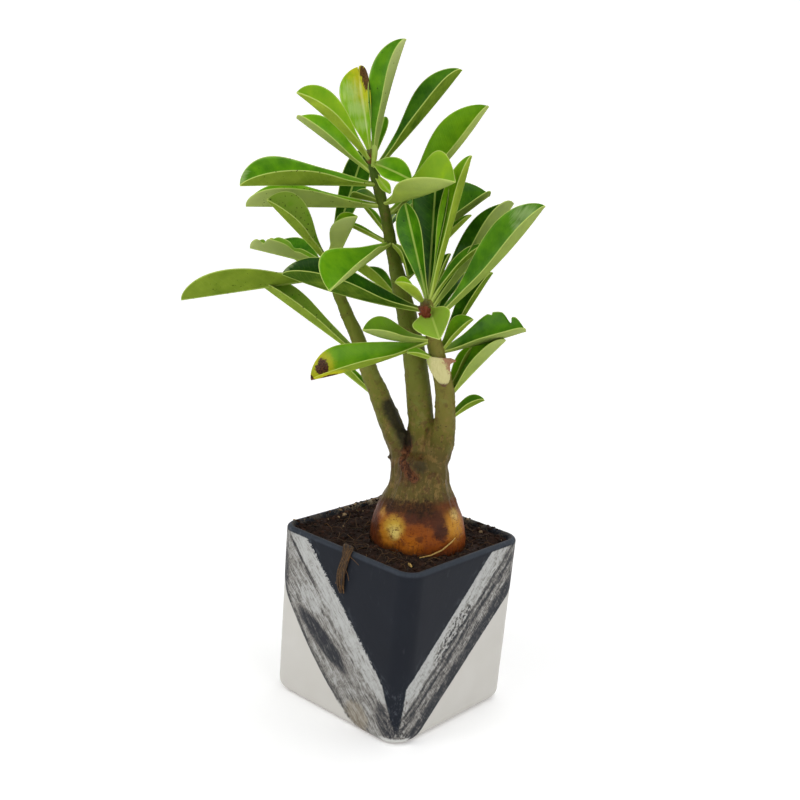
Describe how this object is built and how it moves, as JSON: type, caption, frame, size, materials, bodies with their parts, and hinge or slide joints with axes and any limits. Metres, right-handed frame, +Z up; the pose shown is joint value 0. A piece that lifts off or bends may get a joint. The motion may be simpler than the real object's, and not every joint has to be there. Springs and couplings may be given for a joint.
{
  "type": "potted desert rose adenium",
  "caption": "Young desert rose with a swollen base and leafy stems, in a square glazed pot with a painted diagonal band.",
  "frame": {"origin": "centre of the pot's underside", "axes": "+Z up; the pot's four sides face along X and Y, and the corner between +X and -Y is the front"},
  "size_m": [0.1503, 0.1289, 0.3418],
  "materials": {
    "pot_glaze": "satin paint over glazed ceramic, dark slate with grey and off-white",
    "compost": "loose fibrous coir compost",
    "bark": "smooth thin bark, golden with red-brown patches",
    "foliage": "waxy leaf",
    "dry_leaf": "dry papery",
    "coir": "coarse fibre"
  },
  "bodies": {
    "root": {"pot": "pot_glaze", "soil": "compost", "caudex": "bark", "stem_left": "foliage", "stem_tall": "foliage", "stem_right": "foliage", "withered_leaf": "dry_leaf", "coir_strand": "coir"}
  },
  "joints": []
}
